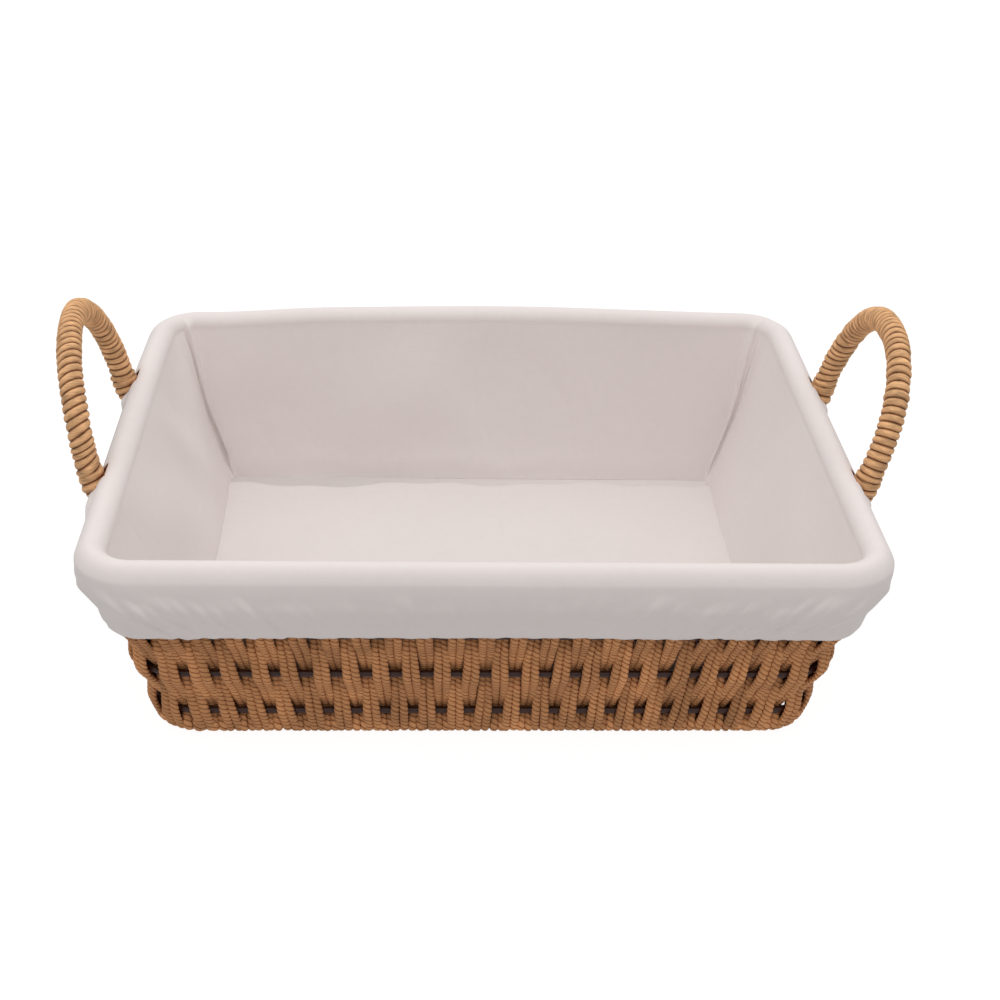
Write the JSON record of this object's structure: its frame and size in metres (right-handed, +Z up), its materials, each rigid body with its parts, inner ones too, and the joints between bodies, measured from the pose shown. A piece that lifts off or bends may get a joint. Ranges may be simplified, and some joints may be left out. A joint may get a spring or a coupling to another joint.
{
  "type": "lined bread basket",
  "caption": "Shallow flared rectangular bread basket woven in paper cord over a wire frame, with wrapped loop handles and a lift-out cloth liner folded over the rim.",
  "frame": {"origin": "on the table under the middle of the basket", "axes": "+X to the right handle, +Y from the front to the back, +Z up"},
  "size_m": [0.406, 0.2892, 0.1572],
  "materials": {
    "frame_wire": "satin",
    "handle_cord": "matt",
    "woven_cord": "matt",
    "liner_cloth": "matt",
    "elastic": "matt"
  },
  "bodies": {
    "basket": {"rim_wire": "frame_wire", "top_ring_wire": "frame_wire", "upper_ring_wire": "frame_wire", "lower_ring_wire": "frame_wire", "bottom_ring_wire": "frame_wire", "base_ring_wire": "frame_wire", "base_cross_wires": "frame_wire", "corner_ribs": "frame_wire", "left_handle_wire": "frame_wire", "right_handle_wire": "frame_wire", "left_handle_wrap": "handle_cord", "right_handle_wrap": "handle_cord", "left_front_binding": "handle_cord", "left_back_binding": "handle_cord", "right_front_binding": "handle_cord", "right_back_binding": "handle_cord", "rim_wrap": "handle_cord", "front_wall_weave": "woven_cord", "back_wall_weave": "woven_cord", "left_wall_weave": "woven_cord", "right_wall_weave": "woven_cord", "base_weave": "woven_cord"},
    "liner": {"liner_floor": "liner_cloth", "liner_front_panel": "liner_cloth", "liner_back_panel": "liner_cloth", "liner_left_panel": "liner_cloth", "liner_right_panel": "liner_cloth", "liner_front_skirt": "liner_cloth", "liner_back_skirt": "liner_cloth", "liner_left_skirt": "liner_cloth", "liner_right_skirt": "liner_cloth", "hem_casing": "liner_cloth", "hem_elastic": "elastic"}
  },
  "joints": [
    {"name": "liner_lift", "type": "slide", "parent": "basket", "child": "liner", "axis": [0, 0, 1], "range_m": [0, 0.18], "deforming": ["liner_front_skirt", "liner_back_skirt", "liner_left_skirt", "liner_right_skirt", "hem_casing", "hem_elastic"]}
  ]
}
